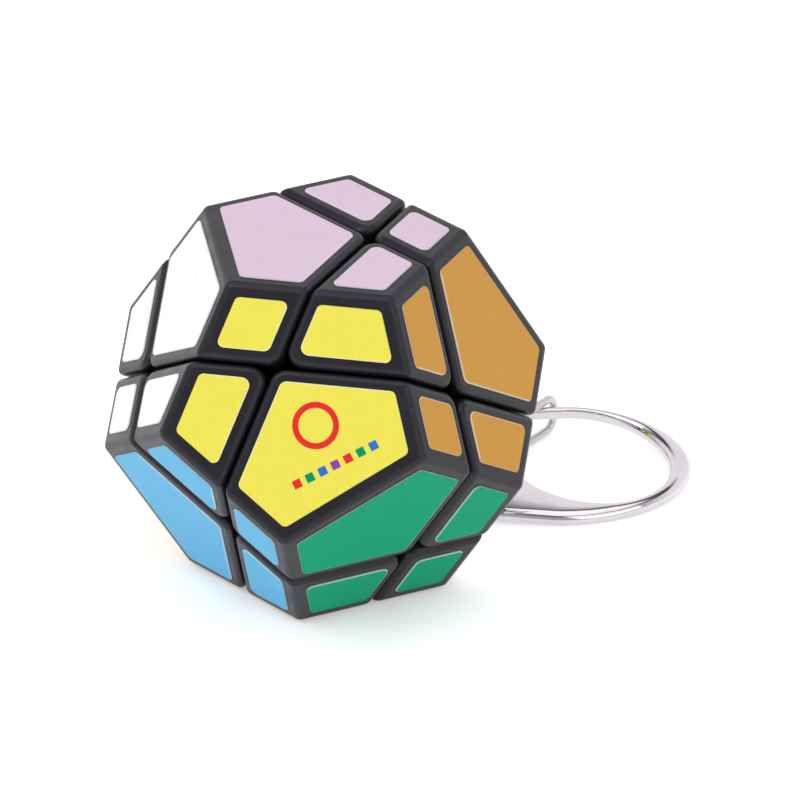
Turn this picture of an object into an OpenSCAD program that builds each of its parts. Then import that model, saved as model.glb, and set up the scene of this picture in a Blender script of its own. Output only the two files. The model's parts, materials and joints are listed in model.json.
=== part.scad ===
// Skewb-type dodecahedron puzzle on a key chain, millimetres.
// The shape is worked out in the "cube frame": the eight corner pieces sit on
// the corners of a cube and the six edge pieces on its axes. The finished
// puzzle is then turned so that it stands on one face, +Z up.

/* [Puzzle] */
// Distance between two opposite faces of the plastic body
face_to_face = 35.8; // [34:0.1:40]
// Clearance on each side of every cut between pieces
cut_gap = 0.12; // [0.08:0.01:0.16]
// Thickness of the hollow plastic shells
wall = 1.2; // [1:0.1:1.5]
// How far the top half is turned from the aligned position, degrees
twist_rest = 1.4; // [0:0.1:2]

/* [Stickers] */
// Thickness of one sticker
sticker_t = 0.15; // [0.1:0.05:0.2]
// Distance from a sticker to the outer edges of its face
edge_margin = 1.3; // [1:0.1:1.6]
// Distance from a sticker to the cuts in its face
cut_margin = 1.33; // [1:0.01:1.6]
// Corner radius of a sticker
sticker_r = 0.6; // [0.3:0.1:0.7]
// Radius of the sticker corner that points at the middle of the face
sticker_tip_r = 0.8; // [0.4:0.1:1]

/* [Mechanism] */
// Radius of the ball in the middle
core_r = 4.7; // [4.5:0.1:4.8]
// Outer radius of the feet that slide on the ball
foot_r = 7; // [6.8:0.1:7]
// Outer radius of the lips that hold the feet down
lip_r = 8.6; // [8.5:0.1:8.6]
// Height above a cut up to which the lips below it reach over the next piece
lip_reach = 1.1; // [0.9:0.1:1.2]
// Shank radius of the four screws
screw_r = 0.78; // [0.7:0.01:0.8]
// Distance from the centre to the underside of a screw head
screw_reach = 12.6; // [12:0.1:13]

/* [Key chain] */
// Wire diameter of the chain links and of the screw eye
wire_d = 0.85; // [0.8:0.01:0.9]
// Length of a link between the middles of its end bars
link_len = 6.15; // [6.1:0.01:6.2]
// Width of a link between the middles of its long sides
link_w = 3.6; // [3.5:0.01:3.7]
// Height of the key ring's section
ring_h = 1.2; // [1:0.1:1.2]
// Half length and half width of the big curve outside the key ring
ring_outer = [13.41, 9.48];
// Half length and half width of the hole in the key ring
ring_inner = [8.6, 7.34];
// Slope of the key ring, which leans on the chain, degrees
ring_slope = 7; // [6.5:0.1:7.2]

/* [Hidden] */
phi = (1 + sqrt(5)) / 2;
// Half edge of the cube whose corners are the corner pieces
unit = face_to_face / 2 * sqrt(phi + 2) / (phi * phi);
inradius = face_to_face / 2;
centre_z = inradius + sticker_t;
big = 60;

function norm1(v) = v / norm(v);
function dot(a, b) = a * b;
// Turns the three coordinates round k times, so that x becomes y, then z
function cyc(v, k) = k == 0 ? v : k == 1 ? [v[2], v[0], v[1]] : [v[1], v[2], v[0]];

// Directions of the four turning axes, each through a screwed corner piece
AXES = [[1, -1, -1], [1, 1, 1], [-1, -1, 1], [-1, 1, -1]];
// The top half turns on the first axis
TWIST = AXES[0];
CORNERS = [for (x = [1, -1], y = [1, -1], z = [1, -1]) [x, y, z]];
EDGES = [[1, 0, 0], [0, -1, 0], [0, 0, -1], [-1, 0, 0], [0, 1, 0], [0, 0, 1]];
FACES = [for (k = [0:2], sx = [1, -1], sz = [1, -1]) [k, sx, sz]];
function face_dir(f) = cyc([f[1], 0, f[2] * phi], f[0]);

function is_corner(v) = norm(v) > 1.5;
function is_axis(v) = is_corner(v) && v[0] * v[1] * v[2] > 0;
function in_top_half(v) = dot(v, TWIST) > 0;
function side(v, a) = sign(dot(v, a));
// The axes whose cuts bound a piece: all but a corner's own
function cuts(v) = [for (a = AXES) if (abs(dot(v, a)) < 2.5) a];
// Outer faces of a piece
function piece_faces(v) =
    [for (f = FACES) let (n = face_dir(f)) if (dot(n, v) > (is_corner(v) ? 2 : 0.5)) norm1(n)];

// Part frame: rows turn the cube frame so that the resting face looks down
ROW_X = [-1 / 2, -phi / 2, 1 / (2 * phi)];
ROW_Z = [phi, -1, 0] / sqrt(phi + 2);
ROW_Y = cross(ROW_Z, ROW_X);

// ---- helpers ----

module to_part() {
    multmatrix([concat(ROW_X, 0), concat(ROW_Y, 0), concat(ROW_Z, centre_z), [0, 0, 0, 1]])
        children();
}

// Places a piece of the puzzle, with the top half turned a little
module placed(v) {
    to_part() rotate(a = in_top_half(v) ? twist_rest : 0, v = TWIST) children();
}

// Turns +Z to the direction n
module along(n) {
    z = norm1(n);
    x = norm1(cross(abs(z[2]) > 0.9 ? [1, 0, 0] : [0, 0, 1], z));
    y = cross(z, x);
    multmatrix([[x[0], y[0], z[0], 0], [x[1], y[1], z[1], 0], [x[2], y[2], z[2], 0]]) children();
}

// Everything up to the distance d in the direction n
module below(n, d) {
    along(n) translate([-big, -big, d - 2 * big]) cube(2 * big);
}

// Space between the cuts of a piece, drawn in by gap
module between_cuts(v, gap) {
    intersection_for (a = cuts(v)) below(-side(v, a) * a, -gap);
}

// Space inside the outer faces of a piece, drawn in by inset
module inside_faces(v, inset) {
    intersection_for (n = piece_faces(v)) below(n, inradius - inset);
}

// Space above the cuts that a piece is over, from height up, and below the
// cuts that it is under, up to the height under
module about_cuts(v, over, under) {
    intersection_for (a = cuts(v))
        below(-side(v, a) * a, side(v, a) > 0 ? -over : under);
}

module spherical_layer(r1, r2) {
    difference() {
        sphere(r = r2, $fn = 96);
        sphere(r = r1, $fn = 96);
    }
}

// ---- the fourteen pieces ----

// Inner radius of the outer shells, above the closing plate of the foot
plate_r1 = lip_r + 0.15;
plate_r2 = plate_r1 + 1.05;
// Inner radii of the lips and of the feet
lip_r1 = foot_r + 0.15;
foot_r1 = core_r + 0.3;
// Play between a lip and the neck or lip that passes it
lip_play = 0.2;
// Overlaps that join the neck to the foot below and to the plate above
neck_in_foot = 0.1;
neck_in_plate = 0.5;
// Stem of a screwed corner piece, and the bore that the screw turns in
stem_r = 1.5;
stem_bore_r = 0.86;
// Spring pocket above the stem: its radius and wall, and where it begins and ends
pocket_r = 2.2;
pocket_wall_r = 2.75;
pocket_start = 9.0;
pocket_end = 13.5;
// Glue gap between the pocket and the shell that sits on it
glue_gap = 0.02;

// Hollow outer shell, open towards the middle
module shell(v) {
    color([0.13, 0.13, 0.15]) placed(v) difference() {
        intersection() {
            between_cuts(v, cut_gap);
            inside_faces(v, 0);
        }
        sphere(r = plate_r2, $fn = 96);
        intersection() {
            between_cuts(v, cut_gap + wall);
            inside_faces(v, wall);
        }
        if (is_axis(v)) along(v)
            cylinder(r = pocket_wall_r + glue_gap, h = pocket_end + glue_gap, $fn = 64);
        if (v == EYE_PIECE) eye_hole();
    }
}

// Lip layer: reaches over the feet of the pieces across the cuts where this
// piece is on the lower side, and stays clear where it is on the upper side.
// Its edges are flat and parallel to the cuts, so they pass while turning.
module lip(v) {
    intersection() {
        spherical_layer(lip_r1, lip_r);
        about_cuts(v, lip_reach + lip_play, lip_reach);
    }
}

// Neck that joins foot, lip and closing plate
module neck(v) {
    intersection() {
        spherical_layer(foot_r - neck_in_foot, plate_r1 + neck_in_plate);
        about_cuts(v, lip_reach + 2 * lip_play, -cut_gap - lip_play);
    }
}

// Foot with its lip and the plate that closes the shell
module foot(v) {
    color([0.2, 0.2, 0.22]) placed(v) difference() {
        union() {
            if (!is_axis(v)) intersection() {
                spherical_layer(foot_r1, foot_r);
                between_cuts(v, cut_gap);
            }
            lip(v);
            neck(v);
            intersection() {
                spherical_layer(plate_r1, plate_r2);
                between_cuts(v, cut_gap);
            }
            if (is_axis(v)) along(v) {
                translate([0, 0, foot_r1]) cylinder(r = stem_r, h = plate_r1 - foot_r1, $fn = 48);
                translate([0, 0, pocket_start])
                    cylinder(r = pocket_wall_r, h = pocket_end - pocket_start, $fn = 64);
            }
        }
        if (is_axis(v)) along(v) {
            cylinder(r = stem_bore_r, h = big, $fn = 48);
            translate([0, 0, pocket_start]) cylinder(r = pocket_r, h = big, $fn = 48);
        }
    }
}

// ---- the middle ----

// Bottom of the pilot holes in the ball, end of the screws, and the play round them
pilot_end = 1.2;
screw_end = 1.5;
pilot_play = 0.02;

module core() {
    color([0.85, 0.85, 0.82]) to_part() difference() {
        sphere(r = core_r, $fn = 96);
        for (a = AXES) along(a)
            translate([0, 0, pilot_end]) cylinder(r = screw_r + pilot_play, h = big, $fn = 48);
    }
}

head_r = 1.7;
head_h = 1.0;
// Cross recess of the screw head: length, width and depth
recess = [2, 0.4, 0.5];
washer_r = 1.95;
washer_t = 0.3;
washer_play = 0.1;
// Clearance between a washer and the screw head, and between a spring and its seats
seat_gap = 0.01;
spring_gap = 0.05;

module screws() {
    color("silver") to_part() for (a = AXES) along(a) difference() {
        union() {
            translate([0, 0, screw_end])
                cylinder(r = screw_r, h = screw_reach + head_h / 2 - screw_end, $fn = 48);
            translate([0, 0, screw_reach]) cylinder(r = head_r, h = head_h, $fn = 48);
        }
        for (turn = [0, 90]) rotate(turn)
            translate([-recess[0] / 2, -recess[1] / 2, screw_reach + head_h - recess[2]])
                cube([recess[0], recess[1], head_h]);
    }
}

module washers() {
    color("silver") to_part() for (a = AXES) along(a)
        translate([0, 0, screw_reach - washer_t - seat_gap]) difference() {
            cylinder(r = washer_r, h = washer_t, $fn = 48);
            translate([0, 0, -washer_t]) cylinder(r = screw_r + washer_play, h = 3 * washer_t, $fn = 48);
        }
}

spring_wire_r = 0.2;
spring_r = 1.45;
spring_turns = 4;
SPRING_STEPS = 12;
SPRING_SIDES = 5;

// One compression spring from the pocket floor to the washer
module spring() {
    z1 = pocket_start + spring_wire_r + spring_gap;
    z2 = screw_reach - washer_t - seat_gap - spring_wire_r - spring_gap;
    n = spring_turns * SPRING_STEPS;
    points = [for (i = [0:n], j = [0:SPRING_SIDES - 1])
        let (a = 360 * i / SPRING_STEPS, b = 360 * j / SPRING_SIDES,
             r = spring_r + spring_wire_r * cos(b))
        [r * cos(a), r * sin(a), z1 + (z2 - z1) * i / n + spring_wire_r * sin(b)]];
    function at(i, j) = i * SPRING_SIDES + j % SPRING_SIDES;
    sides = [for (i = [0:n - 1], j = [0:SPRING_SIDES - 1])
        [at(i, j), at(i + 1, j), at(i + 1, j + 1), at(i, j + 1)]];
    ends = [[for (j = [0:SPRING_SIDES - 1]) at(0, j)],
            [for (j = [SPRING_SIDES - 1:-1:0]) at(n, j)]];
    polyhedron(points, concat(sides, ends));
}

module springs() {
    color("gray") to_part() for (a = AXES) along(a) spring();
}

// ---- stickers ----

// Corners of a face in the cube frame: A and E end the edge of the big
// pentagon, B and D are corner pieces, C is the far corner
function face_corners(f) = let (k = f[0], sx = f[1], sz = f[2]) [for (p = [
    [0, 1 / phi, sz * phi], [sx, 1, sz], [sx * phi, 0, sz / phi], [sx, -1, sz],
    [0, -1 / phi, sz * phi]]) unit * cyc(p, k)];

// The four regions of a face: piece, outline, and margin of each side
function regions(f) = let (
        q = face_corners(f), k = f[0], sx = f[1], sz = f[2],
        ab = (q[0] + q[1]) / 2, bc = (q[1] + q[2]) / 2,
        cd = (q[2] + q[3]) / 2, de = (q[3] + q[4]) / 2, x = (q[1] + q[3]) / 2,
        m = edge_margin, c = cut_margin) [
    [cyc([0, 0, sz], k), [q[0], ab, x, de, q[4]], [m, c, c, m, m], 2],
    [cyc([sx, 1, sz], k), [ab, q[1], bc, x], [m, m, c, c], 3],
    [cyc([sx, -1, sz], k), [x, cd, q[3], de], [c, m, m, c], 0],
    [cyc([sx, 0, 0], k), [bc, q[2], cd, x], [m, m, c, c], 3]];

function cross2(a, b) = a[0] * b[1] - a[1] * b[0];
// Unit normal of a side, pointing into a counter-clockwise outline
function inward(a, b) = let (d = norm1(b - a)) [-d[1], d[0]];
// Where the line through p along u meets the line through q along v
function meet(p, u, q, v) = p + u * cross2(q - p, v) / cross2(u, v);

// Outline p drawn in by a margin on each side
function inset(p, m) = [for (i = [0:len(p) - 1]) let (
        n = len(p), a = p[(i + n - 1) % n], b = p[i], c = p[(i + 1) % n])
    meet(b + m[(i + n - 1) % n] * inward(a, b), b - a, b + m[i] * inward(b, c), c - b)];

ARC_STEPS = 6;
// Outline p with each corner i rounded to the radius r[i]
function rounded(p, r) = [for (i = [0:len(p) - 1]) let (
        n = len(p), a = norm1(p[(i + n - 1) % n] - p[i]), b = norm1(p[(i + 1) % n] - p[i]),
        half = acos(dot(a, b)) / 2, o = p[i] + norm1(a + b) * r[i] / sin(half),
        t1 = atan2(-a[0], a[1]), sweep = 180 - 2 * half)
    for (s = [0:ARC_STEPS]) let (t = t1 + 180 + sweep * (s / ARC_STEPS)) o + r[i] * [cos(t), sin(t)]];

// One sticker of thickness t on the face f, from its region g
module sticker(f, g) {
    z = norm1(face_dir(f));
    x = norm1(g[1][1] - g[1][0]);
    y = cross(z, x);
    flat = [for (p = g[1]) [dot(p, x), dot(p, y)]];
    ccw = cross2(flat[1] - flat[0], flat[2] - flat[1]) > 0;
    n = len(flat);
    // A mirrored face lists its corners clockwise, so they are turned round
    order = [for (i = [0:n - 1]) ccw ? i : n - 1 - i];
    sides = [for (i = [0:n - 1]) ccw ? i : (2 * n - 2 - i) % n];
    p = [for (i = order) flat[i]];
    m = [for (i = sides) g[2][i]];
    r = [for (i = order) i == g[3] ? sticker_tip_r : sticker_r];
    multmatrix([[x[0], y[0], z[0], 0], [x[1], y[1], z[1], 0], [x[2], y[2], z[2], 0]])
        translate([0, 0, inradius]) linear_extrude(sticker_t) polygon(rounded(inset(p, m), r));
}

// All stickers of one colour on one half: opposite faces share a colour
module stickers(k, same, top) {
    for (sx = [1, -1]) {
        f = [k, sx, same ? sx : -sx];
        for (g = regions(f)) if (in_top_half(g[0]) == top) placed(g[0]) difference() {
            sticker(f, g);
            if (g[0] == EYE_PIECE && f == EYE_FACE) eye_hole();
        }
    }
}

YELLOW = [0.957, 0.914, 0.353];
GREEN = [0.004, 0.624, 0.463];
WHITE = [0.98, 0.98, 0.98];
LILAC = [0.886, 0.784, 0.867];
BLUE = [0.4, 0.73, 0.9];
GOLD = [0.81, 0.6, 0.27];

// ---- key chain ----

// Height of the lowest point of the chain above the table
chain_lift = 0.05;
// Height of the middle of an upright link
link_z = chain_lift + (link_w + wire_d) / 2;
// Height of the middle of the flat link
flat_z = 1.42;
// Bearings of the three links, from the puzzle towards the key ring
LINK_AZ = [41.1, 25.7, 62.5];
// Outer bar of the last link, round which the key ring hangs
hook = [18.3, 28.98];
// Play between the end bars of two neighbouring links
wire_play = 0.3;
pitch = link_len - wire_d - wire_play;
function heading(i) = [cos(LINK_AZ[i]), sin(LINK_AZ[i])];
// Far end bars of the links, and the bar of the screw eye before them
bar3 = hook;
bar2 = bar3 - pitch * heading(2);
bar1 = bar2 - pitch * heading(1);
bar0 = bar1 - pitch * heading(0);
BARS = [bar1, bar2, bar3];

// Corner radius of a link, to the middle of the wire
link_bend = 1.1;

// Rectangular link with round corners, its far bar at the origin, along -X
module link_shape() {
    l = link_len / 2 - link_bend;
    w = link_w / 2 - link_bend;
    translate([-link_len / 2, 0, 0]) {
        for (sx = [1, -1], sy = [1, -1])
            translate([sx * l, sy * w, 0]) rotate([0, 0, sx > 0 ? (sy > 0 ? 0 : -90) : (sy > 0 ? 90 : 180)])
                rotate_extrude(angle = 90, $fn = 64) translate([link_bend, 0]) circle(d = wire_d, $fn = 32);
        for (s = [1, -1]) {
            translate([-l, s * link_w / 2, 0]) rotate([0, 90, 0]) cylinder(d = wire_d, h = 2 * l, $fn = 32);
            translate([s * link_len / 2, w, 0]) rotate([90, 0, 0]) cylinder(d = wire_d, h = 2 * w, $fn = 32);
        }
    }
}

// Link i of the chain: the middle one lies flat, the others stand upright
module link(i) {
    flat = i == 1;
    color("silver") translate([BARS[i][0], BARS[i][1], flat ? flat_z : link_z])
        rotate([0, 0, LINK_AZ[i]]) rotate([flat ? 0 : 90, 0, 0]) link_shape();
}

// The screw eye sits on the back of the puzzle near the table
EYE_PIECE = [-1, 0, 0];
EYE_FACE = [0, -1, -1];
eye_normal = [0, 2, -1] / sqrt(5);
eye_plane = cross([1, 0, 0], eye_normal) * -1;
eye_r = 1.6;
first = [heading(0)[0], heading(0)[1], 0];
eye_to_bar = norm1(first - dot(first, eye_plane) * eye_plane);
eye_c = [bar0[0], bar0[1], link_z] - eye_r * eye_to_bar;
// Distance from the face to the middle of the loop
eye_reach = dot(eye_c - [0, 0, centre_z], eye_normal) - inradius;
eye_shank_r = 0.55;
// Play round the shank, and how far it reaches in past the inside of the shell
eye_play = 0.05;
eye_past = 1.5;
// Flange of the screw eye, just above the sticker
eye_flange = [1.1, 0.4];
eye_flange_gap = 0.05;

module eye_hole() {
    // Undoes the turn into the part frame, so that the hole follows the eye
    multmatrix([for (i = [0:2]) [ROW_X[i], ROW_Y[i], ROW_Z[i], 0]])
        translate([0, 0, -centre_z]) translate(eye_c) along(-eye_normal)
            cylinder(r = eye_shank_r + eye_play, h = eye_reach + wall + 2 * eye_past, $fn = 32);
}

module screw_eye() {
    color("silver") translate(eye_c) {
        along(eye_plane) rotate_extrude($fn = 64) translate([eye_r, 0]) circle(d = wire_d, $fn = 32);
        along(-eye_normal) translate([0, 0, eye_r])
            cylinder(r = eye_shank_r, h = eye_reach - eye_r + wall + eye_past, $fn = 32);
        along(-eye_normal) translate([0, 0, eye_reach - sticker_t - eye_flange_gap - eye_flange[1]])
            cylinder(r = eye_flange[0], h = eye_flange[1], $fn = 48);
    }
}

// Key ring: middle and bearing of its big outer curve and of its hole
ring_outer_at = [20.51, 19.2];
ring_outer_az = 16.5;
ring_inner_at = [23.05, 20.75];
ring_inner_az = 162.3;
// Round corners of the broad side: beside the link, and the low wide one
ring_link_corner = [16.3, 23.86];
ring_link_r = 3.9;
ring_wide_corner = [15.9, 12.91];
ring_wide_r = 3.9;
ring_notch = [16.5, 23.84];
ring_notch_r = 2.9;
// Point of the ring that touches the table, and the way up the slope
ring_low = [28.22, 12.35];
ring_up = norm1(hook - ring_low);

function arc(c, r, a, b, n) = [for (i = [0:n]) let (t = a + (b - a) * i / n) c + r * [cos(t), sin(t)]];
function oval(c, s, az, a, b, n) = [for (i = [0:n]) let (t = a + (b - a) * i / n)
    c + s[0] * cos(t) * [cos(az), sin(az)] + s[1] * sin(t) * [-sin(az), cos(az)]];

module ring_outline() {
    polygon(concat(
        oval(ring_outer_at, ring_outer, ring_outer_az, -96, 78, 36),
        arc(ring_link_corner, ring_link_r, 100, 172, 10),
        arc(ring_wide_corner, ring_wide_r, 172, 278, 14)));
}

module ring_hole() {
    hull() {
        polygon(oval(ring_inner_at, ring_inner, ring_inner_az, 0, 354, 59));
        polygon(arc(ring_notch, ring_notch_r, 0, 350, 35));
    }
}

// Height of the lowest point of the ring above the table
ring_lift = 0.02;

module key_ring() {
    color("silver") translate([ring_low[0], ring_low[1], ring_lift])
        rotate(a = ring_slope, v = [ring_up[1], -ring_up[0], 0])
            translate([-ring_low[0], -ring_low[1], 0]) linear_extrude(ring_h) difference() {
                ring_outline();
                ring_hole();
            }
}

core();
screws();
washers();
springs();
for (i = [0:7]) {
    shell(CORNERS[i]);
    foot(CORNERS[i]);
}
for (i = [0:5]) {
    shell(EDGES[i]);
    foot(EDGES[i]);
}
color(YELLOW) stickers(0, true, true);  // stickers_yellow_top
color(GREEN) stickers(0, false, true);  // stickers_green_top
color(WHITE) stickers(1, true, true);  // stickers_white_top
color(LILAC) stickers(1, false, true);  // stickers_lilac_top
color(BLUE) stickers(2, true, true);  // stickers_blue_top
color(GOLD) stickers(2, false, true);  // stickers_gold_top
color(YELLOW) stickers(0, true, false);  // stickers_yellow_base
color(GREEN) stickers(0, false, false);  // stickers_green_base
color(WHITE) stickers(1, true, false);  // stickers_white_base
color(LILAC) stickers(1, false, false);  // stickers_lilac_base
color(BLUE) stickers(2, true, false);  // stickers_blue_base
color(GOLD) stickers(2, false, false);  // stickers_gold_base
screw_eye();
link(0);  // chain_link_1
link(1);  // chain_link_2
link(2);  // chain_link_3
key_ring();
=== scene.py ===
import json
import math

import bmesh
import bpy
from mathutils import Matrix, Vector


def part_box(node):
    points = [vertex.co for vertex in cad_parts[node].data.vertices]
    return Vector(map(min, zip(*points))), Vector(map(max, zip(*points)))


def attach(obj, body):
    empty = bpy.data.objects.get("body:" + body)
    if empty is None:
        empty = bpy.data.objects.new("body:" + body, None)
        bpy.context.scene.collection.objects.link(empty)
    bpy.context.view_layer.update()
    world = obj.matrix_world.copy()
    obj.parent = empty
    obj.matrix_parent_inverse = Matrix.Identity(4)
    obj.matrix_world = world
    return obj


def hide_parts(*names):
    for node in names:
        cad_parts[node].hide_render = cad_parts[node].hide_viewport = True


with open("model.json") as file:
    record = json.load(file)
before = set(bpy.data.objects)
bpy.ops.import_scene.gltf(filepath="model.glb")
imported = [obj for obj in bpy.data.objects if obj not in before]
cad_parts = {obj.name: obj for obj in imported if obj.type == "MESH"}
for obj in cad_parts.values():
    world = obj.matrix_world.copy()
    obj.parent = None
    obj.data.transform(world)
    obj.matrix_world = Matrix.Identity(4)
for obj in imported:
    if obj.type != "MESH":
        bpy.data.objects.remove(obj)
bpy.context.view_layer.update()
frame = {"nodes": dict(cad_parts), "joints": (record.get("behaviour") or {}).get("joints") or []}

MM = 0.001
PHI = (1 + math.sqrt(5)) / 2

# ---------------------------------------------------------------- the puzzle

JOINTS = {j["name"]: j for j in frame["joints"]}
CENTRE = Vector(JOINTS["half_turn"]["pos_m"])
STICKER_T = 0.15 * MM
INRADIUS = CENTRE.z - STICKER_T
TWIST_REST = math.radians(1.4)
CUT_GAP = 0.12 * MM
WALL = 1.2 * MM
# The shells are open towards the middle: a ball of this radius is taken out of
# each, and its pointed inner end is cut off flat inside that ball
INNER_R = 9.8 * MM
TRUNCATE = 8.0 * MM
# Larger than the puzzle: the block that each piece is cut from
BLOCK = 0.1

# Rounding of the shells: along the cuts, along the outer edges, and the
# corners where two cuts cross
CUT_ROUND = 0.75 * MM
OUTER_ROUND = 0.55 * MM
CROSS_R = 1.6 * MM

# The cube frame of part.scad, and the turn from it to the part frame
ROW_X = Vector((-0.5, -PHI / 2, 1 / (2 * PHI)))
ROW_Z = Vector((PHI, -1, 0)).normalized()
ROW_Y = ROW_Z.cross(ROW_X)
TO_PART = Matrix((ROW_X, ROW_Y, ROW_Z))
AXES = [Vector(a) for a in ((1, -1, -1), (1, 1, 1), (-1, -1, 1), (-1, 1, -1))]
CORNERS = [Vector((x, y, z)) for x in (1, -1) for y in (1, -1) for z in (1, -1)]
EDGES = [Vector(e) for e in ((1, 0, 0), (0, -1, 0), (0, 0, -1), (-1, 0, 0), (0, 1, 0), (0, 0, 1))]
# Kinds of plane round a piece, and of the faces that they leave
OUTER, CUT, INNER = 0, 1, 2


def turned(v, k):
    """The three coordinates moved round k times."""
    return Vector((v[(0 - k) % 3], v[(1 - k) % 3], v[(2 - k) % 3]))


FACES = [turned((sx, 0, sz * PHI), k) for k in range(3) for sx in (1, -1) for sz in (1, -1)]


def in_top_half(v):
    return v.dot(AXES[0]) > 0


def place(v):
    """The matrix that takes piece v from the cube frame to its place in the part frame."""
    m = Matrix.Translation(CENTRE) @ TO_PART.to_4x4()
    if in_top_half(v):
        m = m @ Matrix.Rotation(TWIST_REST, 4, AXES[0].normalized())
    return m


def piece_planes(v, gap, inset):
    """Outward normals, distances and kinds of the planes round piece v."""
    planes = []
    for a in AXES:
        if abs(v.dot(a)) < 2.5:
            planes.append((-math.copysign(1, v.dot(a)) * a.normalized(), -gap, CUT))
    is_corner = v.length > 1.5
    least_dot = 2 if is_corner else 0.5
    for n in FACES:
        if n.dot(v) > least_dot:
            planes.append((n.normalized(), INRADIUS - inset, OUTER))
    return planes


# ---------------------------------------------------------------- mesh helpers

def new_object(name, mesh):
    obj = bpy.data.objects.new(name, mesh)
    bpy.context.scene.collection.objects.link(obj)
    return obj


def solid_between(planes):
    """A convex solid cut out of a block by the planes; faces keep their kind."""
    bm = bmesh.new()
    bmesh.ops.create_cube(bm, size=BLOCK)
    kind = bm.faces.layers.int.new("kind")
    for n, d, k in planes:
        bmesh.ops.bisect_plane(bm, geom=bm.verts[:] + bm.edges[:] + bm.faces[:],
                               plane_co=n * d, plane_no=n, clear_outer=True)
        rim = [e for e in bm.edges if e.is_boundary]
        for f in bmesh.ops.holes_fill(bm, edges=rim, sides=0)["faces"]:
            f[kind] = k
    bmesh.ops.recalc_face_normals(bm, faces=bm.faces[:])
    return bm, kind


def round_crossings(bm, kind):
    """Rounds the edges where two cut faces of a piece meet."""
    for e in [e for e in bm.edges if all(f[kind] == CUT for f in e.link_faces)]:
        if not e.is_valid:
            continue
        half = (math.pi - e.calc_face_angle()) / 2
        made = bmesh.ops.bevel(bm, geom=[e], offset=CROSS_R / math.tan(half), segments=8,
                               profile=0.5, affect="EDGES")
        for f in made["faces"]:
            f[kind] = CUT


def weigh_edges(bm, kind):
    """Bevel weights: full along the cuts, less on the edges of the dodecahedron."""
    weight = bm.edges.layers.float.new("bevel_weight_edge")
    for e in bm.edges:
        kinds = sorted(f[kind] for f in e.link_faces)
        if kinds == [OUTER, CUT]:
            e[weight] = 1.0
        elif kinds == [OUTER, OUTER]:
            e[weight] = OUTER_ROUND / CUT_ROUND


def to_mesh(name, bm):
    mesh = bpy.data.meshes.new(name)
    bm.to_mesh(mesh)
    bm.free()
    return mesh


def smooth_shaded(obj):
    obj.modifiers.new("shading", "WEIGHTED_NORMAL").keep_sharp = True
    return obj


def evaluated_mesh(obj):
    graph = bpy.context.evaluated_depsgraph_get()
    return bpy.data.meshes.new_from_object(obj.evaluated_get(graph), depsgraph=graph)


def subtract(obj, other):
    mod = obj.modifiers.new("hollow", "BOOLEAN")
    mod.operation = "DIFFERENCE"
    mod.solver = "EXACT"
    mod.object = other


def shell_piece(name, v):
    """A hollow shell with rounded edges, open towards the middle."""
    planes = piece_planes(v, CUT_GAP, 0) + [(-v.normalized(), -TRUNCATE, INNER)]
    bm, kind = solid_between(planes)
    round_crossings(bm, kind)
    weigh_edges(bm, kind)
    work = new_object(name + "_work", to_mesh(name + "_work", bm))
    bevel = work.modifiers.new("edges", "BEVEL")
    bevel.limit_method = "WEIGHT"
    bevel.width = CUT_ROUND
    bevel.segments = 5
    cavity_bm, _ = solid_between(piece_planes(v, CUT_GAP + WALL, WALL))
    ball_bm = bmesh.new()
    bmesh.ops.create_icosphere(ball_bm, subdivisions=5, radius=INNER_R)
    cavity = new_object(name + "_cavity", to_mesh(name + "_cavity", cavity_bm))
    ball = new_object(name + "_ball", to_mesh(name + "_ball", ball_bm))
    subtract(work, cavity)
    subtract(work, ball)
    mesh = evaluated_mesh(work)
    for o in (work, cavity, ball):
        bpy.data.objects.remove(o)
    mesh.transform(place(v))
    mesh.shade_smooth()
    mesh.set_sharp_from_angle(angle=math.radians(50))
    return smooth_shaded(new_object(name, mesh))


# ---------------------------------------------------------------- materials

def material(name):
    mat = bpy.data.materials.new(name)
    mat.use_nodes = True
    tree = mat.node_tree
    shader = next(n for n in tree.nodes if n.type == "BSDF_PRINCIPLED")
    return mat, tree, shader


def noise(tree, scale, detail=2.0, roughness=0.5):
    """Noise over the object's own metres: 1/scale is the size of a feature."""
    coords = tree.nodes.new("ShaderNodeTexCoord")
    tex = tree.nodes.new("ShaderNodeTexNoise")
    tex.inputs["Scale"].default_value = scale
    tex.inputs["Detail"].default_value = detail
    tex.inputs["Roughness"].default_value = roughness
    tree.links.new(coords.outputs["Object"], tex.inputs["Vector"])
    return tex.outputs["Fac"]


def ramp(tree, value, low, high, at=(0.3, 0.7)):
    """Colours or greys from low to high as the value goes across at."""
    node = tree.nodes.new("ShaderNodeValToRGB")
    for stop, place_at, colour in zip(node.color_ramp.elements, at, (low, high)):
        stop.position = place_at
        stop.color = (*colour, 1) if len(colour) == 3 else (colour[0],) * 3 + (1,)
    tree.links.new(value, node.inputs["Fac"])
    return node.outputs["Color"]


def bump(tree, shader, height, depth, strength=1.0):
    node = tree.nodes.new("ShaderNodeBump")
    node.inputs["Distance"].default_value = depth
    node.inputs["Strength"].default_value = strength
    tree.links.new(height, node.inputs["Height"])
    tree.links.new(node.outputs["Normal"], shader.inputs["Normal"])


def black_plastic(name, grey, rough):
    """Moulded plastic: a fine spark-eroded grain and faintly uneven gloss."""
    mat, tree, shader = material(name)
    tint = [grey * 1.0, grey * 0.96, grey * 1.12]
    colour = ramp(tree, noise(tree, 260, 3), tint, [c * 1.35 for c in tint])
    tree.links.new(colour, shader.inputs["Base Color"])
    gloss = ramp(tree, noise(tree, 420, 4), (rough - 0.05,), (rough + 0.07,))
    tree.links.new(gloss, shader.inputs["Roughness"])
    shader.inputs["Specular IOR Level"].default_value = 0.33
    shader.inputs["Specular Tint"].default_value = (0.90, 0.85, 1.0, 1)
    bump(tree, shader, noise(tree, 9000, 2), 0.004 * MM, 0.6)
    return mat


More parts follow.
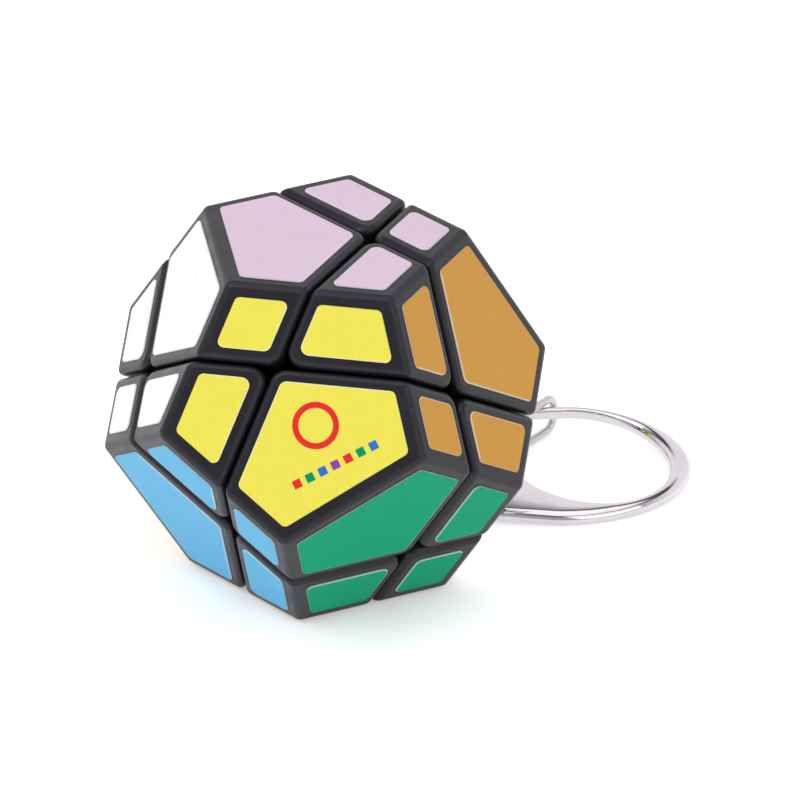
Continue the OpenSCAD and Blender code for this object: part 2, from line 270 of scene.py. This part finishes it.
def vinyl(name, colour, rough=0.32):
    """Printed vinyl film: even colour, slight mottling and orange peel."""
    mat, tree, shader = material(name)
    dark = [c * 0.965 for c in colour]
    tree.links.new(ramp(tree, noise(tree, 900, 4, 0.6), dark, colour), shader.inputs["Base Color"])
    gloss = ramp(tree, noise(tree, 300, 3), (rough - 0.05,), (rough + 0.08,))
    tree.links.new(gloss, shader.inputs["Roughness"])
    shader.inputs["Specular IOR Level"].default_value = 0.05
    bump(tree, shader, noise(tree, 1500, 2), 0.004 * MM, 0.4)
    return mat


def gold_film(name, colour):
    """Metallic film: fine light and dark flakes in a gold ground."""
    mat, tree, shader = material(name)
    dark, light = [c * 0.86 for c in colour], [min(1, c * 1.14) for c in colour]
    flakes = noise(tree, 9000, 3, 0.7)
    tree.links.new(ramp(tree, flakes, dark, light, (0.35, 0.65)), shader.inputs["Base Color"])
    tree.links.new(ramp(tree, flakes, (0.55,), (0.38,)), shader.inputs["Roughness"])
    shader.inputs["Metallic"].default_value = 0.45
    bump(tree, shader, noise(tree, 5000, 3), 0.006 * MM, 0.5)
    return mat


def metal(name, colour, rough, scratch=0.3):
    """Plated metal with hairline wear and slight waviness in the polish."""
    mat, tree, shader = material(name)
    shader.inputs["Metallic"].default_value = 1.0
    shade = [c * 0.93 for c in colour]
    tree.links.new(ramp(tree, noise(tree, 350, 4, 0.6), shade, colour), shader.inputs["Base Color"])
    wear = ramp(tree, noise(tree, 1200, 5, 0.7), (rough * 0.7,), (rough * 1.8,))
    tree.links.new(wear, shader.inputs["Roughness"])
    bump(tree, shader, noise(tree, 500, 3), 0.01 * MM, scratch)
    return mat


PLASTIC = black_plastic("black_plastic", 0.011, 0.33)
FOOT_PLASTIC = black_plastic("inner_plastic", 0.03, 0.5)
COLOUR = {
    "yellow": (0.79, 0.71, 0.092),
    "green": (0.0, 0.30, 0.148),
    "white": (0.84, 0.84, 0.85),
    "lilac": (0.68, 0.52, 0.65),
    "blue": (0.11, 0.43, 0.69),
    "gold": (0.53, 0.262, 0.028),
}
STICKER = {name: gold_film("sticker_gold", c) if name == "gold" else vinyl("sticker_" + name, c)
           for name, c in COLOUR.items()}
# The cut edge of each sticker is painted paler than its face: a painted highlight where the edge catches
# the light
RIM_HIGHLIGHT = {name: vinyl("rim_highlight_" + name, [0.5 * x + 0.43 for x in c], 0.4) for name, c in COLOUR.items()}
INKS = [vinyl("ink_red", (0.72, 0.03, 0.03)), vinyl("ink_green", (0.0, 0.30, 0.12)),
        vinyl("ink_blue", (0.03, 0.16, 0.60)), vinyl("ink_violet", (0.26, 0.05, 0.38))]
CHROME = metal("chrome", (0.69, 0.65, 0.69), 0.07)
NICKEL = metal("nickel_plate", (0.60, 0.58, 0.58), 0.18, 0.5)
STEEL = metal("zinc_plate", (0.62, 0.63, 0.66), 0.28, 0.5)
CORE_PLASTIC = vinyl("core_plastic", (0.74, 0.74, 0.71), 0.45)


def dress(obj, *mats):
    obj.data.materials.clear()
    for m in mats:
        obj.data.materials.append(m)


# ---------------------------------------------------------------- stickers

RIM_W = 0.10 * MM

# A plain printed mark on the large yellow sticker: a ring and a row of squares.
# It is laid out on the face, X to the right and Y up the face, in millimetres.
MARKED = "stickers_yellow_base"
MARK_X = Vector((1, 0, 0))
MARK_Y = Vector((0, 1, 2)) / math.sqrt(5)
MARK_OUT = MARK_X.cross(MARK_Y)
MARK_RING_AT = Vector((2.2, -1.9))
MARK_RING_RADII = (1.7, 2.3)
ROW_FROM = Vector((0.9, -7.7))
ROW_TO = Vector((8.0, -3.3))
ROW_COUNT = 7
HALF_SQUARE = 0.42
MARK_RING_STEPS = 48
INK_T = 0.012 * MM
# Material slots of a sticker: face, rim with its painted highlight, and then the inks
FACE_SLOT, RIM_HIGHLIGHT_SLOT, FIRST_INK_SLOT = 0, 1, 2


def print_mark(bm):
    def on_face(p):
        return (CENTRE + MARK_OUT * (INRADIUS + STICKER_T + INK_T)
                + (p.x * MARK_X + p.y * MARK_Y) * MM)

    def patch(points, ink):
        face = bm.faces.new([bm.verts.new(on_face(p)) for p in points])
        face.material_index = FIRST_INK_SLOT + ink
        if face.normal.dot(MARK_OUT) < 0:
            face.normal_flip()

    def spoke(i):
        t = math.tau * i / MARK_RING_STEPS
        return Vector((math.cos(t), math.sin(t)))

    inside, outside = MARK_RING_RADII
    for i in range(MARK_RING_STEPS):
        a, b = spoke(i), spoke(i + 1)
        patch([MARK_RING_AT + r * d for r, d in ((inside, a), (outside, a), (outside, b), (inside, b))], 0)
    along = (ROW_TO - ROW_FROM).normalized()
    across = Vector((-along.y, along.x))
    for i in range(ROW_COUNT):
        c = ROW_FROM.lerp(ROW_TO, i / (ROW_COUNT - 1))
        patch([c + HALF_SQUARE * (x * along + y * across)
               for x, y in ((-1, -1), (1, -1), (1, 1), (-1, 1))], i % len(INKS))


def sticker_sheet(node, colour, body):
    """The stickers of one CAD node, with a rounded cut edge painted paler as a highlight."""
    bm = bmesh.new()
    bm.from_mesh(frame["nodes"][node].data)
    bmesh.ops.remove_doubles(bm, verts=bm.verts[:], dist=1e-6)
    bmesh.ops.dissolve_limit(bm, angle_limit=math.radians(0.5), verts=bm.verts[:], edges=bm.edges[:])
    bmesh.ops.recalc_face_normals(bm, faces=bm.faces[:])
    tops = [f for f in bm.faces
            if f.normal.dot(f.calc_center_median() - CENTRE) > INRADIUS + 0.9 * STICKER_T]
    rims = list({e for f in tops for e in f.edges})
    bmesh.ops.bevel(bm, geom=rims, offset=RIM_W, segments=3, profile=0.5, affect="EDGES")
    for f in bm.faces:
        height = f.normal.dot(f.calc_center_median() - CENTRE)
        # Faces below the sticker's top take the rim material, painted paler as a highlight
        f.material_index = FACE_SLOT if height > INRADIUS + STICKER_T * 0.999 else RIM_HIGHLIGHT_SLOT
        f.smooth = True
    name = node.replace("stickers", "sticker")
    mesh = bpy.data.meshes.new(name)
    mesh.materials.append(STICKER[colour])
    # The rim material: the sticker colour painted paler, a painted highlight on the cut edge
    mesh.materials.append(RIM_HIGHLIGHT[colour])
    if node == MARKED:
        for ink in INKS:
            mesh.materials.append(ink)
        print_mark(bm)
    bm.to_mesh(mesh)
    bm.free()
    mesh.set_sharp_from_angle(angle=math.radians(60))
    obj = smooth_shaded(new_object(name, mesh))
    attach(obj, body)
    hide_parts(node)


# ---------------------------------------------------------------- key chain

WIRE_D = 0.85 * MM
LINK_LEN = 6.15 * MM
LINK_W = 3.6 * MM
LINK_BEND = 1.1 * MM
LINK_AZ = [math.radians(a) for a in (41.1, 25.7, 62.5)]
FLAT_LINK = 1
WIRE_SIDES = 20
BEND_STEPS = 12


def join_loops(bm, a, b):
    """A band of faces between two loops with as many points."""
    for j in range(len(a)):
        k = (j + 1) % len(a)
        bm.faces.new((a[j], b[j], b[k], a[k]))


def finish_sweep(bm):
    bmesh.ops.recalc_face_normals(bm, faces=bm.faces[:])
    for f in bm.faces:
        f.smooth = True


def closed_tube(points, radius, sides):
    """A tube along a closed flat path in the XY plane."""
    bm = bmesh.new()
    n = len(points)
    rings = []
    for i, p in enumerate(points):
        along = (points[(i + 1) % n] - points[i - 1]).normalized()
        out = Vector((along.y, -along.x, 0))
        rings.append([bm.verts.new(p + radius * (math.cos(a) * out + math.sin(a) * Vector((0, 0, 1))))
                      for a in (math.tau * j / sides for j in range(sides))])
    for i in range(n):
        join_loops(bm, rings[i], rings[(i + 1) % n])
    finish_sweep(bm)
    return bm


def link_path():
    """Middle line of a link, its far bar at the origin."""
    points = []
    for sx, sy, start in ((1, 1, 0), (-1, 1, 90), (-1, -1, 180), (1, -1, 270)):
        c = Vector((sx * (LINK_LEN / 2 - LINK_BEND) - LINK_LEN / 2, sy * (LINK_W / 2 - LINK_BEND), 0))
        for step in range(BEND_STEPS + 1):
            a = math.radians(start + 90 * step / BEND_STEPS)
            points.append(c + LINK_BEND * Vector((math.cos(a), math.sin(a), 0)))
    return points


def chain_link(i):
    node = "chain_link_%d" % (i + 1)
    lo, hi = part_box(node)
    middle = (Vector(lo) + Vector(hi)) / 2
    heading = Vector((math.cos(LINK_AZ[i]), math.sin(LINK_AZ[i]), 0))
    bm = closed_tube(link_path(), WIRE_D / 2, WIRE_SIDES)
    mesh = to_mesh(node, bm)
    turn = Matrix.Rotation(LINK_AZ[i], 4, "Z")
    if i != FLAT_LINK:
        turn = turn @ Matrix.Rotation(math.pi / 2, 4, "X")
    mesh.transform(Matrix.Translation(middle + heading * LINK_LEN / 2) @ turn)
    obj = new_object("wire_" + node, mesh)
    dress(obj, NICKEL)
    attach(obj, "link_%d" % (i + 1))
    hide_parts(node)


# The key ring as in part.scad, laid out flat in millimetres and then tipped up:
# its outline is an oval with two round corners on the left, and its hole is an
# oval drawn out to a notch for the link
RING_H = 1.2
RING_OVAL_AT, RING_OVAL, RING_OVAL_AZ = (20.51, 19.2), (13.41, 9.48), math.radians(16.5)
LINK_CORNER_AT, WIDE_CORNER_AT, CORNER_R = (16.3, 23.86), (15.9, 12.91), 3.9
HOLE_AT, HOLE_OVAL, HOLE_AZ = (23.05, 20.75), (8.6, 7.34), math.radians(162.3)
NOTCH_AT, NOTCH_R = (16.5, 23.84), 2.9
# Rounding of the ring's section: outer edge, hole edge, underside
RING_OUTER_R = 1.0
RING_HOLE_R = 0.75
RING_UNDER_R = 0.18
# The section is swept round this point, which lies in the hole
RING_HUB = (22.3, 20.9)
RING_STATIONS = 240
ROUND_STEPS = 8
# The ring rests on RING_LOW and slopes up towards the hook on its link
RING_SLOPE = math.radians(7)
RING_LOW = Vector((28.22, 12.35, 0)) * MM
HOOK = Vector((18.3, 28.98, 0)) * MM
RING_LIFT = Vector((0, 0, 0.02 * MM))


def oval(c, size, az, a, b, n):
    """Points of an oval turned by az, from a to b degrees in n steps."""
    ux = Vector((math.cos(az), math.sin(az)))
    uy = Vector((-math.sin(az), math.cos(az)))
    out = []
    for i in range(n + 1):
        t = math.radians(a + (b - a) * i / n)
        out.append(Vector(c) + size[0] * math.cos(t) * ux + size[1] * math.sin(t) * uy)
    return out


def hull_2d(points):
    """Convex hull, counter-clockwise."""
    pts = sorted((p.x, p.y) for p in points)
    halves = []
    for run in (pts, pts[::-1]):
        part = []
        for p in run:
            while len(part) > 1 and ((part[-1][0] - part[-2][0]) * (p[1] - part[-2][1])
                                     - (part[-1][1] - part[-2][1]) * (p[0] - part[-2][0])) <= 0:
                part.pop()
            part.append(p)
        halves += part[:-1]
    return [Vector(p) for p in halves]


def ray_hit(outline, origin, direction):
    """Where the ray from the origin leaves the outline."""
    best = 0.0
    for a, b in zip(outline, outline[1:] + outline[:1]):
        e = b - a
        det = direction.x * -e.y + direction.y * e.x
        if abs(det) < 1e-15:
            continue
        d = a - origin
        t = (d.x * -e.y + d.y * e.x) / det
        s = (direction.x * d.y - direction.y * d.x) / det
        if -1e-9 <= s <= 1 + 1e-9 and t > best:
            best = t
    return origin + direction * best


def ring_section(w):
    """The rounded section of a band w wide: distance from the hole, and height."""
    out_r, hole_r, u = min(RING_OUTER_R, 0.5 * w), min(RING_HOLE_R, 0.45 * w), RING_UNDER_R
    points = []
    for cx, cz, r, start in ((w - out_r, RING_H - out_r, out_r, 0), (hole_r, RING_H - hole_r, hole_r, 90),
                             (u, u, u, 180), (w - u, u, u, 270)):
        for step in range(ROUND_STEPS + 1):
            t = math.radians(start + 90 * step / ROUND_STEPS)
            points.append((cx + r * math.cos(t), cz + r * math.sin(t)))
    return points


def key_ring():
    outer = (oval(RING_OVAL_AT, RING_OVAL, RING_OVAL_AZ, -96, 78, 120)
             + oval(LINK_CORNER_AT, (CORNER_R, CORNER_R), 0, 100, 172, 40)
             + oval(WIDE_CORNER_AT, (CORNER_R, CORNER_R), 0, 172, 278, 60))
    hole = hull_2d(oval(HOLE_AT, HOLE_OVAL, HOLE_AZ, 0, 359, 240)
                   + oval(NOTCH_AT, (NOTCH_R, NOTCH_R), 0, 0, 359, 120))
    hub = Vector(RING_HUB)
    bm = bmesh.new()
    loops = []
    for i in range(RING_STATIONS):
        a = math.tau * i / RING_STATIONS
        ray = Vector((math.cos(a), math.sin(a)))
        inner_p, outer_p = ray_hit(hole, hub, ray), ray_hit(outer, hub, ray)
        across = outer_p - inner_p
        loops.append([bm.verts.new((*(inner_p + across.normalized() * x), z))
                      for x, z in ring_section(across.length)])
    for i in range(RING_STATIONS):
        join_loops(bm, loops[i], loops[(i + 1) % RING_STATIONS])
    finish_sweep(bm)
    mesh = to_mesh("cast_key_ring", bm)
    up_slope = (HOOK - RING_LOW).normalized()
    tilt = Matrix.Rotation(RING_SLOPE, 4, Vector((up_slope.y, -up_slope.x, 0)))
    mesh.transform(Matrix.Translation(RING_LOW + RING_LIFT) @ tilt
                   @ Matrix.Translation(-RING_LOW) @ Matrix.Scale(MM, 4))
    obj = new_object("cast_key_ring", mesh)
    dress(obj, CHROME)
    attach(obj, "key_ring")
    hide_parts("key_ring")


# ---------------------------------------------------------------- build

for prefix, pieces in (("corner", CORNERS), ("edge", EDGES)):
    for number, v in enumerate(pieces, 1):
        shell = shell_piece("%s_cap_%d" % (prefix, number), v)
        dress(shell, PLASTIC)
        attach(shell, "top_half" if in_top_half(v) else "base_half")
        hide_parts("%s_shell_%d" % (prefix, number))
        dress(frame["nodes"]["%s_foot_%d" % (prefix, number)], FOOT_PLASTIC)

for sticker_colour in STICKER:
    sticker_sheet("stickers_%s_top" % sticker_colour, sticker_colour, "top_half")
    sticker_sheet("stickers_%s_base" % sticker_colour, sticker_colour, "base_half")

dress(frame["nodes"]["core"], CORE_PLASTIC)
for metal_node in ("screws", "washers", "springs"):
    dress(frame["nodes"][metal_node], STEEL)
dress(frame["nodes"]["screw_eye"], NICKEL)
for link_number in range(3):
    chain_link(link_number)
key_ring()

# ---------------------------------------------------------------- stage, light and camera

FLOOR_SIZE = 6.0


def pale_floor():
    bm = bmesh.new()
    bmesh.ops.create_grid(bm, x_segments=1, y_segments=1, size=FLOOR_SIZE / 2)
    floor = new_object("floor", to_mesh("floor", bm))
    mat, _, shader = material("pale_floor")
    shader.inputs["Base Color"].default_value = (0.93, 0.93, 0.935, 1)
    shader.inputs["Roughness"].default_value = 0.7
    shader.inputs["Emission Color"].default_value = (1, 1, 1, 1)
    shader.inputs["Emission Strength"].default_value = 0.35
    dress(floor, mat)


def studio_sky():
    """Studio round the object: pale backdrop, dark gap, bright ceiling, dim front."""
    world = bpy.data.worlds.new("studio")
    bpy.context.scene.world = world
    world.use_nodes = True
    tree = world.node_tree
    coords = tree.nodes.new("ShaderNodeTexCoord")
    split = tree.nodes.new("ShaderNodeSeparateXYZ")
    tree.links.new(coords.outputs["Generated"], split.inputs["Vector"])

    def bands(stops):
        node = tree.nodes.new("ShaderNodeValToRGB")
        ends = node.color_ramp.elements
        while len(ends) < len(stops):
            ends.new(1.0)
        for end, (position, grey) in zip(ends, stops):
            end.position = position
            end.color = (grey, grey, grey, 1)
        tree.links.new(split.outputs["Z"], node.inputs["Fac"])
        return node.outputs["Color"]

    behind = bands(((0.0, 1.05), (0.69, 1.02), (0.77, 0.08), (0.86, 0.10), (0.92, 1.35)))
    front = bands(((0.0, 0.50), (0.50, 0.45), (0.62, 0.12), (0.74, 0.15), (0.84, 1.35)))
    side = tree.nodes.new("ShaderNodeMapRange")
    side.inputs["From Min"].default_value = -0.45
    side.inputs["From Max"].default_value = 0.25
    tree.links.new(split.outputs["Y"], side.inputs["Value"])
    mix = tree.nodes.new("ShaderNodeMix")
    mix.data_type = "RGBA"
    tree.links.new(side.outputs["Result"], mix.inputs["Factor"])
    tree.links.new(front, mix.inputs["A"])
    tree.links.new(behind, mix.inputs["B"])
    back = tree.nodes["Background"]
    tree.links.new(mix.outputs["Result"], back.inputs["Color"])
    back.inputs["Strength"].default_value = 1.08


def area_light(name, at, size, watts):
    data = bpy.data.lights.new(name, "AREA")
    data.size = size
    data.energy = watts
    obj = bpy.data.objects.new(name, data)
    bpy.context.scene.collection.objects.link(obj)
    obj.location = at
    obj.rotation_euler = (CENTRE - Vector(at)).to_track_quat("-Z", "Y").to_euler()


# The photo's viewing angle: the puzzle's middle lies AIM_RIGHT to the left of the
# picture's middle and -AIM_UP above it
VIEW_AZ = math.radians(9.9)
VIEW_EL = math.radians(29.3)
VIEW_ROLL = math.radians(0.47)
VIEW_DISTANCE = 0.838
AIM_RIGHT = 7.37 * MM
AIM_UP = -0.29 * MM


def photo_camera():
    data = bpy.data.cameras.new("camera")
    data.sensor_width = 36
    data.lens = 382.2
    data.clip_end = 20
    camera = bpy.data.objects.new("camera", data)
    bpy.context.scene.collection.objects.link(camera)
    level = Matrix.Rotation(VIEW_AZ, 4, "Z") @ Matrix.Rotation(math.pi / 2 - VIEW_EL, 4, "X")
    aim = CENTRE + level.to_3x3() @ Vector((AIM_RIGHT, AIM_UP, 0))
    camera.matrix_world = (Matrix.Translation(aim + level.to_3x3() @ Vector((0, 0, VIEW_DISTANCE)))
                           @ level @ Matrix.Rotation(VIEW_ROLL, 4, "Z"))
    bpy.context.scene.camera = camera


pale_floor()
studio_sky()
area_light("key_light", (-0.45, -0.40, 0.70), 0.5, 2.5)
area_light("fill_light", (0.6, -0.5, 0.4), 0.6, 1.3)
photo_camera()
bpy.context.scene.view_settings.view_transform = "Standard"
